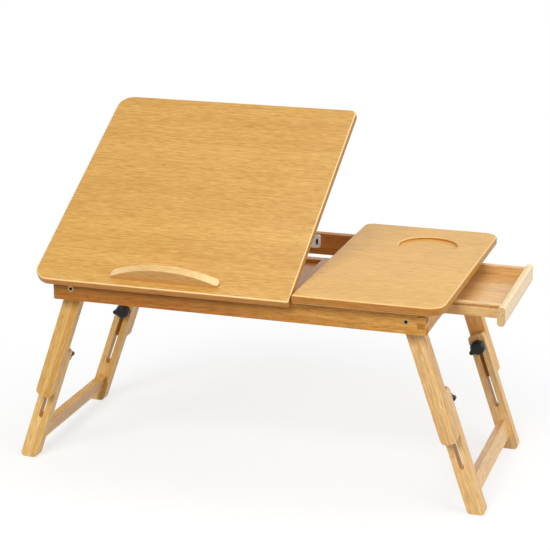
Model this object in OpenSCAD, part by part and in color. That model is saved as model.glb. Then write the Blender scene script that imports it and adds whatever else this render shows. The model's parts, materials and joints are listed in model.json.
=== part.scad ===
// Folding laptop table of laminated bamboo.
// A top in two parts stands on a finger-jointed frame: the wide part tilts on two hinges and is held up
// by a wire prop that drops into notched racks, and the narrow part is fixed over a side drawer.
// Four two-piece legs splay outwards, fold in under the frame and slide to change the height.
// Each length is in millimetres. The table is drawn as it is used: legs out, top tilted, drawer half open.

/* [Top] */
// Width of the whole top
table_w = 597; // [590:1:620]
// Depth of the whole top, front to back
table_d = 400; // [390:5:420]
// Height of the top's surface above the floor
table_h = 316; // [312:1:326]
// Width of the tilting part
tilt_w = 384; // [370:1:395]
// Gap between the two parts of the top
seam_gap = 2; // [1.5:0.5:3]
// Thickness of the tilting board
tilt_t = 12; // [11:0.5:14]
// Rounding of the boards' long edges
edge_r = 3; // [2:0.5:5]
// Rounding of the outer corners, seen from above
corner_r = 24; // [12:1:30]
// Rounding of the tilting board's back corner at the seam
seam_corner_r = 10; // [6:1:20]
// Diameter of the cup recess
cup_d = 88; // [76:1:96]
// Depth of the cup recess
cup_depth = 4; // [2:0.5:4]
// Width of the ledge that stops a laptop from sliding
ledge_w = 162; // [140:1:200]
// Height of that ledge at its middle
ledge_h = 24; // [18:1:30]
// Height of that ledge at its ends
ledge_end_h = 4; // [3:0.5:8]
// Thickness of that ledge
ledge_t = 12.5; // [10:0.5:16]

/* [Tilt and prop] */
// Angle that the top is tilted to, the highest notch
tilt_angle = 30; // [26:1:32]
// Distance along the board from the hinge to the prop's pivot
prop_reach = 280; // [276:1:284]
// Diameter of the prop's wire
wire_d = 4; // [3:0.5:4]
// Width of the prop between the middles of its arms
prop_w = 88; // [84:1:90]
// Length of one hinge
hinge_len = 38; // [30:1:45]

/* [Frame] */
// Width of the frame
frame_w = 550; // [540:2:556]
// Depth of the frame, front to back
frame_d = 352; // [346:2:364]
// How far the middle of the top lies to the right of the frame's
top_shift = 2; // [0:0.5:5]
// Distance of the frame behind the front edge of the top
frame_inset = 19; // [18:0.5:24]
// Thickness of the frame's rails
rail_t = 13; // [12:0.5:14]
// Height of the frame's rails
rail_h = 33.5; // [32:0.5:36]
// Rounding of the frame's four upright corners
frame_corner_r = 5; // [2:0.5:6]
// Fingers in each corner joint
fingers = 4; // [3:1:6]

/* [Legs] */
// Width of a leg, seen from the front
leg_w = 25; // [22:0.5:25]
// Thickness of a leg
leg_t = 18; // [16:0.5:18]
// Outward lean of the legs from upright
splay = 19; // [14:1:20]
// Length of an upper leg below its pivot
upper_len = 189; // [180:1:196]
// Distance of the clamp bolt below the pivot
clamp_dist = 134; // [131:1:137]
// Width of the slot that the clamp bolt slides in
slot_w = 6.6; // [6.6:0.1:8]
// How far the lower legs slide up
slide_travel = 96; // [80:1:96]
// Rounding of the two lower corners of an upper leg
upper_end_r = 8; // [4:0.5:10]
// Rounding of the two upper corners of a lower leg
lower_top_r = 6; // [3:0.5:9]
// Width of the crossbar that joins two feet
crossbar_w = 25; // [22:1:28]
// Thickness of that crossbar
crossbar_t = 12; // [10:0.5:12]

/* [Drawer] */
// Width of the drawer's front
drawer_w = 221; // [205:1:222]
// Height of the drawer's front
drawer_h = 26.5; // [24:0.5:26.5]
// How far the drawer stands open
drawer_open = 83; // [0:1:110]
// Length of the drawer behind its front
drawer_len = 155; // [140:1:156]

/* [Hidden] */

// Lengths shorter than this only make cutting bodies pass through a face
over = 1;

// Colours
bamboo = [0.87, 0.67, 0.40];
bamboo_pale = [0.93, 0.79, 0.56];
bamboo_deep = [0.78, 0.55, 0.29];
brass = [0.80, 0.62, 0.30];
steel = [0.72, 0.73, 0.74];
black = [0.07, 0.07, 0.08];
white = [0.93, 0.93, 0.91];

// Heights of the frame and the two boards. The tilting board closes just short of the rails.
close_gap = 0.5;
tilt_under = table_h - tilt_t;
frame_top = tilt_under - close_gap;
frame_low = frame_top - rail_h;
side_t = table_h - frame_top;
top_x = [top_shift - table_w / 2, top_shift + table_w / 2];
seam_x = top_x[0] + tilt_w;
side_x = seam_x + seam_gap;

// Faces of the frame. What stands at its back mirrors what stands at its front, about its middle.
out_x = frame_w / 2;
in_x = out_x - rail_t;
out_y = frame_inset;
in_y = out_y + rail_t;
frame_ends = 2 * out_y + frame_d;

// Hinge line, just in front of the front rail
leaf_t = 1.2;
leaf_w = 12;
knuckle_r = 2.5;
knuckle_gap = 0.3;
pin_d = 2.4;
pin_clear = 0.05;
hinge_y = out_y - knuckle_r - 0.4;
hinge_z = frame_top + close_gap / 2;
hinge_x = [for (s = [-1, 1]) top_x[0] + tilt_w / 2 + s * tilt_w * 0.305];
end_knuckle = hinge_len * 0.32;

// Legs: at full splay a leg's outer edge lies against a bevel along the end rail's lower inner edge
leg_gap = 0.3;
spacer_t = 8;
spacer_r = 9;
pivot_up = 17;
rail_foot_t = 9;
pivot_z = frame_low + pivot_up;
pivot_x = out_x - rail_foot_t - pivot_up * tan(splay) - (leg_w / 2 + leg_gap) / cos(splay);
bevel_h = (rail_t - rail_foot_t) / tan(splay);
leg_len = pivot_z / cos(splay);
upper_y = in_y + spacer_t + leg_gap;
lower_y = upper_y + leg_t + leg_gap;
inner_y = lower_y + leg_t;
pivot_d = 6;
bolt_head_r = 4.5;
bolt_head_h = 3.5;
bolt_sunk = 0.4;
hex_r = 2.6;
nut_r = 5.8;
nut_h = 3.5;
clamp_d = 6;
clamp_set = 13;
foot_r = 6;
lower_top = 18;
slot_end_gap = 0.5;
crossbar_down = leg_len - 35;
tenon_len = 10;
tenon_w = crossbar_w - 8;
tenon_t = crossbar_t - 5;

// Drawer
front_t = 11;
front_r = 4;
closed_gap = 0.4;
box_t = 9;
box_inset = 12.4;
drawer_y = (frame_ends - drawer_w) / 2;
box_y = drawer_y + box_inset;
drawer_top = frame_top - 5;
front_low = drawer_top - drawer_h;
box_low = front_low + 7;
front_out_x = out_x + front_t + closed_gap + drawer_open;
front_in_x = front_out_x - front_t;
box_end_x = front_in_x - drawer_len;
lip_h = 3;
groove_h = 3.6;
groove_low = drawer_top - lip_h - groove_h;
groove_depth = 4.5;
floor_t = 3.5;
floor_low = box_low + 2;
floor_groove = 3;
housing = 4;
back_drop = 2;
tongue_clear = 0.3;
runner_gap = 0.5;
runner_t = 8;
runner_low = groove_low - 8;
opening_clear = 0.8;
opening_low = box_low - 3;

// Prop: pivot, foot and lean are found for any tilt, so that the racks follow the foot's path
clip_drop = 5;
deck_front_y = 105;
deck_rear_y = 217;
cross_low = frame_top - 10.2;
deck_top = cross_low + 4.7;
foot_flat_y = deck_front_y + 6;
foot_flat_z = tilt_under - wire_d / 2 - 0.4;
foot_rest_z = frame_top;
prop_flat_rise = foot_flat_z - (tilt_under - clip_drop);
prop_len = sqrt(pow(prop_reach + hinge_y - foot_flat_y, 2) + pow(prop_flat_rise, 2));
prop_dz = tilt_under - clip_drop - hinge_z;
lean_flat = -asin(prop_flat_rise / prop_len);
lean_rest = asin((prop_pivot(tilt_angle)[1] - foot_rest_z) / prop_len);
lean_rate = (lean_rest - lean_flat) / tilt_angle;
prop_mid_x = -150;
clip_w = 9;
clip_depth = 16;
clip_r = 3.8;
clip_foot_t = 2;
pin_len = clip_w + 1;
rack_t = 10;
rack_low = cross_low - 9;
well_x = [prop_mid_x - prop_w / 2 - 6, prop_mid_x + prop_w / 2 + 6];
notch_depth = 1.8;
notch_angles = [10, 15, 20, 25, 30];
// tilt at which the prop's foot is lowest
lowest_tilt = 15;

// Knobs
knob_r = 11;
knob_h = 12;
lobe_reach = 15;
lobe_r = 3.4;
lobe_root = 8.5;
knob_bore_h = 11;
washer_t = 1.2;
washer_r = 8;
knob_gap = 0.3;

// Place of the ledge on the tilting top
ledge_x = -98.5;
ledge_y = 12.5;
ledge_end_r = 5;

// Middle of the whole table's outline in its drawn pose, which is put over the origin
foot_reach = pivot_x + (pivot_z - foot_r) * tan(splay) + (leg_w / 2 - foot_r) / cos(splay) + foot_r;
board_reach = tilted_y(edge_r, table_h - edge_r) - edge_r;
front_reach = min(board_reach, tilted_y(ledge_y, table_h + ledge_h));
mid_x = (front_out_x - foot_reach) / 2;
mid_y = (front_reach + table_d) / 2;

// Y of a point of the closed top when the top is tilted as drawn
function tilted_y(y, z) = hinge_y + (y - hinge_y) * cos(tilt_angle) - (z - hinge_z) * sin(tilt_angle);

function prop_pivot(tilt) = [
    hinge_y + prop_reach * cos(tilt) - prop_dz * sin(tilt),
    hinge_z + prop_reach * sin(tilt) + prop_dz * cos(tilt)
];
function prop_lean(tilt) = lean_flat + lean_rate * tilt;
function prop_foot(tilt) = prop_pivot(tilt) - prop_len * [cos(prop_lean(tilt)), sin(prop_lean(tilt))];

// ---------------------------------------------------------------- shared shapes

// Moves the table so that the middle of its outline is over the origin
module table() {
    translate([-mid_x, -mid_y, 0]) children();
}

// A block given by its two corners
module block(low, high) {
    translate(low) cube(high - low);
}

// Turns what is drawn flat with the closed top to the tilt of the drawn pose
module tilted() {
    translate([0, hinge_y, hinge_z])
        rotate([tilt_angle, 0, 0])
            translate([0, -hinge_y, -hinge_z])
                children();
}

// A cylinder along Y that starts at y
module y_rod(x, y, z, r, length) {
    translate([x, y, z]) rotate([-90, 0, 0]) cylinder(r = r, h = length, $fn = 48);
}

// A cylinder along X that starts at x
module x_rod(x, y, z, r, length) {
    translate([x, y, z]) rotate([0, 90, 0]) cylinder(r = r, h = length, $fn = 48);
}

// A profile in the XZ plane given a thickness along +Y from y
module upright(y, thick) {
    translate([0, y + thick, 0]) rotate([90, 0, 0]) linear_extrude(thick) children();
}

// A rectangle with its first corner at the origin and four rounded corners
module soft_rectangle(size, r) {
    translate([r, 0]) square([size[0] - 2 * r, size[1]]);
    translate([0, r]) square([size[0], size[1] - 2 * r]);
    for (x = [r, size[0] - r], y = [r, size[1] - r])
        translate([x, y]) circle(r = r, $fn = 32);
}

// A board with rounded edges and four corner radii: front left, front right, back right, back left
module soft_board(low, high, radii) {
    spots = [
        [low[0], low[1], 1, 1], [high[0], low[1], -1, 1], [high[0], high[1], -1, -1], [low[0], high[1], 1, -1]
    ];
    hull()
        for (i = [0:3], z = [low[2] + edge_r, high[2] - edge_r])
            translate([spots[i][0] + spots[i][2] * radii[i], spots[i][1] + spots[i][3] * radii[i], z])
                rotate_extrude($fn = 32)
                    translate([radii[i] - edge_r, 0])
                        intersection() {
                            circle(r = edge_r, $fn = 24);
                            translate([-(radii[i] - edge_r), -edge_r]) square([radii[i], 2 * edge_r]);
                        }
}

// Draws a thing at the front and its mirror image at the back
module front_and_back() {
    children();
    translate([0, frame_ends, 0]) mirror([0, 1, 0]) children();
}

module at_back() {
    translate([0, frame_ends, 0]) mirror([0, 1, 0]) children();
}

module at_right() {
    mirror([1, 0, 0]) children();
}

// ---------------------------------------------------------------- frame

finger_h = rail_h / fingers;

// The corner blocks that the other rail's fingers fill; even fingers stay on the long rails
module finger_sockets(x, y, parity) {
    for (i = [0:fingers - 1])
        if (i % 2 == parity)
            block([x, y, frame_low + i * finger_h], [x + rail_t, y + rail_t, frame_low + (i + 1) * finger_h]);
}

// Keeps what lies inside the frame's outline, whose upright corners are rounded
module in_frame_outline() {
    intersection() {
        children();
        translate([-out_x, out_y, frame_low - over]) linear_extrude(rail_h + 2 * over)
            soft_rectangle([frame_w, frame_d], frame_corner_r);
    }
}

module long_rail() {
    in_frame_outline() difference() {
        block([-out_x, out_y, frame_low], [out_x, in_y, frame_top]);
        finger_sockets(-out_x, out_y, 1);
        finger_sockets(in_x, out_y, 1);
        for (s = [-1, 1]) {
            y_rod(s * pivot_x, out_y - over, pivot_z, pivot_d / 2, rail_t + 2 * over);
            y_rod(s * pivot_x, out_y - over, pivot_z, bolt_head_r, bolt_head_h + over);
        }
    }
}

module front_rail() {
    color(bamboo) table() difference() {
        long_rail();
        for (x = hinge_x)
            block([x - hinge_len / 2, out_y - over, frame_top - leaf_t],
                [x + hinge_len / 2, out_y + leaf_w, frame_top + over]);
    }
}

module back_rail() {
    color(bamboo) table() at_back() long_rail();
}

module end_rail() {
    in_frame_outline() difference() {
        block([-out_x, out_y, frame_low], [-in_x, frame_ends - out_y, frame_top]);
        finger_sockets(-out_x, out_y, 0);
        finger_sockets(-out_x, frame_ends - in_y, 0);
        // bevel that the legs' outer edges lie against
        translate([0, frame_ends - in_y, 0]) rotate([90, 0, 0]) linear_extrude(frame_ends - 2 * in_y)
            polygon([
                [rail_foot_t - out_x - over * tan(splay), frame_low - over],
                [-in_x + over, frame_low - over],
                [-in_x + over, frame_low + bevel_h + over / tan(splay)]
            ]);
    }
}

module left_end_rail() {
    color(bamboo) table() end_rail();
}

module right_end_rail() {
    color(bamboo) table() difference() {
        at_right() end_rail();
        block([in_x - over, box_y - opening_clear, opening_low],
            [out_x + over, frame_ends - box_y + opening_clear, frame_top + over]);
    }
}

// A rail under the boards. It is deep beside the prop and shallow where the folded crossbars lie.
module cross_rail(y, thick, deck_side) {
    shallow_x = well_x[1] + 2;
    difference() {
        union() {
            block([-in_x, y, rack_low], [shallow_x, y + thick, frame_top]);
            block([-in_x, y, cross_low], [slat_x[0], y + thick, frame_top]);
            block([-in_x, y, cross_low], [slat_x[1], y + thick, slat_low]);
        }
        // a groove in the deep part and a rabbet in the shallow part hold the edges of the deck boards
        for (span = [[-in_x - over, well_x[0], 0], [well_x[1], shallow_x, 0], [shallow_x, deck_end_x, over]])
            block([span[0], deck_side > 0 ? y + thick - rabbet : y - over, cross_low - span[2]],
                [span[1], deck_side > 0 ? y + thick + over : y + rabbet, deck_top]);
    }
}

rabbet = 3;
deck_end_x = side_x + 2;
// The slat under the seam ends short of the knobs of the folded legs
slat_x = [seam_x - 18, pivot_x - clamp_dist - lobe_reach - 1.5];
slat_low = frame_top - 3.4;
front_cross_y = deck_front_y - 12;
rear_cross_t = 14;
arm_notch_w = wire_d + 3;
arm_notch_h = 6.5;

module front_cross_rail() {
    color(bamboo_deep) table() cross_rail(front_cross_y, deck_front_y - front_cross_y, 1);
}

module rear_cross_rail() {
    color(bamboo_deep) table() difference() {
        cross_rail(deck_rear_y, rear_cross_t, -1);
        // the prop's arms lie in these when the top is closed
        for (x = [prop_mid_x - prop_w / 2, prop_mid_x + prop_w / 2])
            block([x - arm_notch_w / 2, deck_rear_y - over, frame_top - arm_notch_h],
                [x + arm_notch_w / 2, deck_rear_y + rear_cross_t + over, frame_top + over]);
    }
}

module deck_board_left() {
    color(bamboo) table()
        block([-in_x, deck_front_y - rabbet, cross_low], [well_x[0], deck_rear_y + rabbet, deck_top]);
}

module deck_board_right() {
    color(bamboo) table()
        block([well_x[1], deck_front_y - rabbet, cross_low], [deck_end_x, deck_rear_y + rabbet, deck_top]);
}

module seam_slat() {
    color(bamboo_deep) table()
        block([slat_x[0], in_y, slat_low], [slat_x[1], deck_rear_y + rear_cross_t, frame_top]);
}

// Top line of a rack: it stays just under the path of the wire, with a notch at each tilt step
function rack_point(tilt, drop) = prop_foot(tilt) - [0, wire_d / 2 + 0.3 + drop];

module prop_rack(x) {
    step = notch_angles[1] - notch_angles[0];
    top = [for (a = notch_angles) each [
        rack_point(a - step / 2, 0),
        rack_point(a - step / 6, notch_depth),
        rack_point(a + step / 6, notch_depth)
    ]];
    last = rack_point(notch_angles[len(notch_angles) - 1] + step / 2, 0);
    lead_in = rack_point(lowest_tilt, 0)[1];
    outline = concat(
        [[deck_front_y, rack_low], [deck_front_y, lead_in], [top[0][0] - 0.5, lead_in]],
        top,
        [last, [last[0] + 4, last[1]], [last[0] + 12, deck_top]],
        [[deck_rear_y, deck_top], [deck_rear_y, rack_low]]
    );
    translate([x, 0, 0]) rotate([90, 0, 90]) linear_extrude(rack_t) polygon(outline);
}

module prop_rack_left() {
    color(bamboo_pale) table() prop_rack(prop_mid_x - prop_w / 2 + 6);
}

module prop_rack_right() {
    color(bamboo_pale) table() prop_rack(prop_mid_x + prop_w / 2 - 6 - rack_t);
}

// ---------------------------------------------------------------- side top and drawer runners

// The runners start beyond the knobs of the folded legs
runner_x = pivot_x - clamp_dist + lobe_reach + 1.5;
cup_x = 210.5;
cup_y = 305;
cup_edge_r = 1.5;

module side_panel() {
    color(bamboo) table() difference() {
        soft_board([side_x, 0, frame_top], [top_x[1], table_d, table_h],
            [edge_r + 0.5, corner_r, corner_r, seam_corner_r + 4]);
        translate([cup_x, cup_y, table_h - cup_depth]) cylinder(d = cup_d, h = cup_depth + over, $fn = 96);
        translate([cup_x, cup_y, table_h - cup_edge_r])
            cylinder(d1 = cup_d, d2 = cup_d + 2 * (cup_edge_r + over), h = cup_edge_r + over, $fn = 96);
    }
}

// An L-shaped runner: a web under the side top and a tongue in the drawer's groove
module drawer_runner() {
    web_y = box_y - runner_gap - runner_t;
    block([runner_x, web_y, runner_low], [in_x, web_y + runner_t, frame_top]);
    block([runner_x, web_y, groove_low + tongue_clear],
        [in_x, box_y + groove_depth - runner_gap, groove_low + groove_h - tongue_clear]);
}

module drawer_runner_front() {
    color(bamboo_deep) table() drawer_runner();
}

module drawer_runner_rear() {
    color(bamboo_deep) table() at_back() drawer_runner();
}

// ---------------------------------------------------------------- hinges

module barrel(x, length, bore) {
    difference() {
        x_rod(x, hinge_y, hinge_z, knuckle_r, length);
        x_rod(x - over, hinge_y, hinge_z, bore, length + 2 * over);
    }
}

module hinge_rail_leaves() {
    color(brass) table() for (x = hinge_x) {
        low = x - hinge_len / 2;
        difference() {
            union() {
                block([low, out_y, frame_top - leaf_t], [low + hinge_len, out_y + leaf_w, frame_top]);
                for (k = [low, low + hinge_len - end_knuckle]) {
                    x_rod(k, hinge_y, hinge_z, knuckle_r, end_knuckle);
                    block([k, hinge_y, frame_top - leaf_t], [k + end_knuckle, out_y + over, frame_top]);
                }
            }
            x_rod(low - over, hinge_y, hinge_z, pin_d / 2, hinge_len + 2 * over);
        }
    }
}

module hinge_panel_leaves() {
    color(brass) table() tilted() for (x = hinge_x) {
        mid_low = x - hinge_len / 2 + end_knuckle + knuckle_gap;
        mid_len = hinge_len - 2 * end_knuckle - 2 * knuckle_gap;
        difference() {
            union() {
                block([x - hinge_len / 2, out_y + 0.3, tilt_under],
                    [x + hinge_len / 2, out_y + leaf_w, tilt_under + leaf_t]);
                x_rod(mid_low, hinge_y, hinge_z, knuckle_r, mid_len);
                block([mid_low, hinge_y, tilt_under], [mid_low + mid_len, out_y + over, tilt_under + leaf_t]);
            }
            x_rod(mid_low - over, hinge_y, hinge_z, pin_d / 2 + pin_clear, mid_len + 2 * over);
        }
    }
}

module hinge_pins() {
    color(steel) table() for (x = hinge_x)
        x_rod(x - hinge_len / 2 - 0.6, hinge_y, hinge_z, pin_d / 2, hinge_len + 1.2);
}

// ---------------------------------------------------------------- tilting top

module tilt_panel() {
    color(bamboo) table() tilted() difference() {
        soft_board([top_x[0], 0, tilt_under], [seam_x, table_d, table_h],
            [corner_r, edge_r + 0.5, seam_corner_r, corner_r]);
        for (x = hinge_x) {
            x_rod(x - hinge_len / 2 - 1.5, hinge_y, hinge_z, knuckle_r + 0.4, hinge_len + 3);
            block([x - hinge_len / 2, hinge_y, tilt_under - over],
                [x + hinge_len / 2, out_y + leaf_w, tilt_under + leaf_t]);
        }
        block([catch_x - 8, catch_face_y - 0.5, tilt_under - over],
            [catch_x + 8, catch_face_y + 6.5, tilt_under + strike_t]);
    }
}

// A shallow arc of wood across the low edge of the tilting top, with rounded ends
module laptop_ledge() {
    rise = ledge_h - ledge_end_h;
    arc_r = (pow(ledge_w / 2, 2) + pow(rise, 2)) / (2 * rise);
    color(bamboo_pale) table() tilted()
        translate([ledge_x, ledge_y + ledge_t, table_h]) rotate([90, 0, 0])
            intersection() {
                linear_extrude(ledge_t) translate([0, ledge_h - arc_r]) circle(r = arc_r, $fn = 180);
                translate([-ledge_w / 2, 0, ledge_t]) rotate([-90, 0, 0])
                    linear_extrude(ledge_h + over) soft_rectangle([ledge_w, ledge_t], ledge_end_r);
            }
}

// ---------------------------------------------------------------- prop

// Saddle clips under the tilting board, one outside each arm of the prop
module prop_clips() {
    color(white) table() tilted() for (s = [-1, 1]) {
        arm_x = prop_mid_x + s * prop_w / 2;
        near = arm_x + s * (wire_d / 2 + 1.6);
        low_x = min(near, near + s * clip_w);
        pivot_y = hinge_y + prop_reach;
        difference() {
            union() {
                x_rod(low_x, pivot_y, tilt_under - clip_drop, clip_r, clip_w);
                block([low_x, pivot_y - clip_r, tilt_under - clip_drop],
                    [low_x + clip_w, pivot_y + clip_r, tilt_under]);
                block([low_x, pivot_y - clip_depth / 2, tilt_under - clip_foot_t],
                    [low_x + clip_w, pivot_y + clip_depth / 2, tilt_under]);
            }
            x_rod(low_x - over, pivot_y, tilt_under - clip_drop, wire_d / 2 + pin_clear, clip_w + 2 * over);
        }
    }
}

// One bent wire: a foot bar, two arms and two pins that turn in the clips
module prop_wire() {
    r = wire_d / 2;
    foot_bend = 8;
    pin_bend = 3.6;
    half = prop_w / 2;
    foot = prop_foot(tilt_angle);
    color(steel) table()
        translate([prop_mid_x, foot[0], foot[1]]) rotate([prop_lean(tilt_angle), 0, 0]) {
            x_rod(-half + foot_bend, 0, 0, r, 2 * (half - foot_bend));
            for (s = [0, 1]) mirror([s, 0, 0]) {
                translate([half - foot_bend, foot_bend, 0])
                    rotate([0, 0, -90]) rotate_extrude(angle = 90, $fn = 48)
                        translate([foot_bend, 0]) circle(r = r, $fn = 24);
                y_rod(half, foot_bend, 0, r, prop_len - foot_bend - pin_bend);
                translate([half + pin_bend, prop_len - pin_bend, 0])
                    rotate([0, 0, 90]) rotate_extrude(angle = 90, $fn = 48)
                        translate([pin_bend, 0]) circle(r = r, $fn = 24);
                x_rod(half + pin_bend, prop_len, 0, r, pin_len);
            }
        }
}

// ---------------------------------------------------------------- magnetic catch

catch_x = 12;
catch_w = 30;
catch_t = 7;
catch_h = 20;
catch_top = frame_top - 1.5;
catch_face_y = frame_ends - in_y - catch_t;
magnet_w = 12;
strike_t = 0.8;

// A moulded body with two upright slots for its screws and a magnet held between steel plates
module catch_body() {
    slot_r = 2.1;
    slot_h = 10;
    color(white) table() difference() {
        upright(catch_face_y, catch_t)
            translate([catch_x - catch_w / 2, catch_top - catch_h]) soft_rectangle([catch_w, catch_h], 2.5);
        for (s = [-1, 1]) upright(catch_face_y - over, catch_t + 2 * over)
            translate([catch_x + s * (magnet_w / 2 + 4.6), catch_top - catch_h / 2]) {
                for (z = [-1, 1]) translate([0, z * (slot_h / 2 - slot_r)]) circle(r = slot_r, $fn = 24);
                translate([-slot_r, slot_r - slot_h / 2]) square([2 * slot_r, slot_h - 2 * slot_r]);
            }
        block([catch_x - magnet_w / 2, catch_face_y + 1, catch_top - catch_h - over],
            [catch_x + magnet_w / 2, catch_face_y + catch_t - 1, catch_top + over]);
    }
}

// The magnet with its two steel plates, standing a little above the moulded body
module catch_plates() {
    color(steel) table() {
        block([catch_x - magnet_w / 2, catch_face_y + 1, catch_top - catch_h + 3],
            [catch_x + magnet_w / 2, catch_face_y + catch_t - 1, catch_top]);
        for (y = [catch_face_y + 1, catch_face_y + catch_t - 2.2])
            block([catch_x - magnet_w / 2 + 1, y, catch_top - 1],
                [catch_x + magnet_w / 2 - 1, y + 1.2, catch_top + 1]);
    }
}

module strike_plate() {
    color(steel) table() tilted()
        block([catch_x - 8, catch_face_y - 0.5, tilt_under],
            [catch_x + 8, catch_face_y + 6.5, tilt_under + strike_t]);
}

// ---------------------------------------------------------------- drawer

// The front board has fully rounded long edges and covers the opening in the end rail
module drawer_front() {
    color(bamboo_pale) table() difference() {
        translate([0, frame_ends - drawer_y, 0]) rotate([90, 0, 0]) linear_extrude(drawer_w)
            translate([front_in_x, front_low]) soft_rectangle([front_t, drawer_h], front_r);
        for (y = [box_y, frame_ends - box_y - box_t])
            block([front_in_x - over, y, box_low], [front_in_x + housing, y + box_t, drawer_top + over]);
        block([front_in_x - over, box_y + over, floor_low],
            [front_in_x + floor_groove, frame_ends - box_y - over, floor_low + floor_t]);
    }
}

module drawer_side() {
    difference() {
        block([box_end_x, box_y, box_low], [front_in_x + housing, box_y + box_t, drawer_top]);
        block([box_end_x - over, box_y - over, groove_low],
            [front_in_x, box_y + groove_depth, groove_low + groove_h]);
        block([box_end_x - over, box_y + box_t - floor_groove, floor_low],
            [front_in_x + housing + over, box_y + box_t + over, floor_low + floor_t]);
    }
}

module drawer_side_front() {
    color(bamboo_pale) table() drawer_side();
}

module drawer_side_rear() {
    color(bamboo_pale) table() at_back() drawer_side();
}

module drawer_back() {
    color(bamboo_pale) table()
        block([box_end_x, box_y + box_t, floor_low + floor_t],
            [box_end_x + box_t, frame_ends - box_y - box_t, drawer_top - back_drop]);
}

module drawer_bottom() {
    color(bamboo) table()
        block([box_end_x, box_y + box_t - floor_groove, floor_low],
            [front_in_x + floor_groove, frame_ends - box_y - box_t + floor_groove, floor_low + floor_t]);
}

// ---------------------------------------------------------------- legs, drawn for the left side

// Runs children in a frame with its origin at the left pivot and -Z down the splayed leg
module along_leg() {
    translate([-pivot_x, 0, pivot_z]) rotate([0, splay, 0]) children();
}

// An upper leg: round about its pivot, soft corners at its lower end
module upper_leg() {
    along_leg() difference() {
        upright(upper_y, leg_t) {
            circle(r = leg_w / 2, $fn = 64);
            translate([-leg_w / 2, upper_end_r - upper_len]) square([leg_w, upper_len - upper_end_r]);
            translate([upper_end_r - leg_w / 2, -upper_len])
                square([leg_w - 2 * upper_end_r, upper_end_r + over]);
            for (x = [upper_end_r - leg_w / 2, leg_w / 2 - upper_end_r])
                translate([x, upper_end_r - upper_len]) circle(r = upper_end_r, $fn = 32);
        }
        y_rod(0, upper_y - over, 0, pivot_d / 2 + pin_clear, leg_t + 2 * over);
        y_rod(0, upper_y + leg_t - clamp_set, -clamp_dist, clamp_d / 2, clamp_set + over);
    }
}

// Outline of a lower leg in the XZ plane, its foot cut level with the floor and eased at both corners
module lower_leg_outline() {
    top = clamp_dist - lower_top;
    edge = leg_w / 2 / cos(splay);
    mid = function (z) -pivot_x - (pivot_z - z) * tan(splay);
    c = [for (s = [-1, 1]) mid(foot_r) + s * (edge - foot_r / cos(splay))];
    touch = foot_r * [cos(splay), -sin(splay)];
    polygon([
        [c[0], 0], [c[1], 0], [c[1], foot_r], [c[1], foot_r] + touch,
        leg_point(leg_w / 2, top + lower_top_r), leg_point(leg_w / 2 - lower_top_r, top + lower_top_r),
        leg_point(leg_w / 2 - lower_top_r, top), leg_point(lower_top_r - leg_w / 2, top),
        leg_point(lower_top_r - leg_w / 2, top + lower_top_r), leg_point(-leg_w / 2, top + lower_top_r),
        [c[0], foot_r] - touch, [c[0], foot_r]
    ]);
    for (x = c) translate([x, foot_r]) circle(r = foot_r, $fn = 32);
    for (x = [lower_top_r - leg_w / 2, leg_w / 2 - lower_top_r])
        translate(leg_point(x, top + lower_top_r)) circle(r = lower_top_r, $fn = 32);
}

// A point given across the left leg and down it from the pivot, as table X and Z
function leg_point(across, down) = [
    -pivot_x + across * cos(splay) - down * sin(splay),
    pivot_z - across * sin(splay) - down * cos(splay)
];

module lower_leg() {
    slot_top = clamp_dist - slot_end_gap;
    slot_bottom = clamp_dist + slide_travel + slot_end_gap;
    difference() {
        upright(lower_y, leg_t) lower_leg_outline();
        along_leg() {
            for (d = [slot_top, slot_bottom])
                y_rod(0, lower_y - over, -d, slot_w / 2, leg_t + 2 * over);
            block([-slot_w / 2, lower_y - over, -slot_bottom],
                [slot_w / 2, lower_y + leg_t + over, -slot_top]);
            tenon(inner_y - tenon_len, tenon_len + over);
        }
    }
}

// The bar that joins two feet, with a tenon into each lower leg
module crossbar() {
    along_leg() {
        block([-crossbar_t / 2, inner_y, -crossbar_down - crossbar_w / 2],
            [crossbar_t / 2, frame_ends - inner_y, crossbar_w / 2 - crossbar_down]);
        tenon(inner_y - tenon_len, frame_ends - 2 * inner_y + 2 * tenon_len);
    }
}

module tenon(y, length) {
    block([-tenon_t / 2, y, -crossbar_down - tenon_w / 2],
        [tenon_t / 2, y + length, tenon_w / 2 - crossbar_down]);
}

// A threaded stud set in the upper leg, which the lower leg slides on
module clamp_bolt() {
    along_leg() y_rod(0, upper_y + leg_t - clamp_set, -clamp_dist, clamp_d / 2,
        clamp_set + leg_gap + leg_t + washer_t + knob_bore_h);
}

module clamp_washer() {
    along_leg() difference() {
        y_rod(0, inner_y + leg_gap, -clamp_dist, washer_r, washer_t);
        y_rod(0, inner_y + leg_gap - over, -clamp_dist, clamp_d / 2, washer_t + 2 * over);
    }
}

// A moulded knob: a domed hub with one thumb lobe, turned from across the leg towards its foot
module knob(turn) {
    base_y = inner_y + leg_gap + washer_t + knob_gap;
    along_leg() translate([0, base_y, -clamp_dist]) rotate([-90, 0, 0]) rotate([0, 0, turn]) difference() {
        union() {
            rotate_extrude($fn = 64) polygon([
                [0, 0], [knob_r - 0.8, 0], [knob_r, 0.8], [knob_r, knob_h - 5], [knob_r - 0.8, knob_h - 3],
                [knob_r - 2.6, knob_h - 1.2], [knob_r - 5.5, knob_h - 0.3], [0, knob_h]
            ]);
            translate([0, 0, 1.5]) linear_extrude(knob_h - 4) {
                translate([lobe_reach - lobe_r, 0]) circle(r = lobe_r, $fn = 32);
                polygon([
                    [0, -lobe_root], [lobe_reach - lobe_r, -lobe_r],
                    [lobe_reach - lobe_r, lobe_r], [0, lobe_root]
                ]);
            }
        }
        translate([0, 0, -over]) cylinder(r = clamp_d / 2 + pin_clear, h = knob_bore_h + over, $fn = 48);
    }
}

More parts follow.
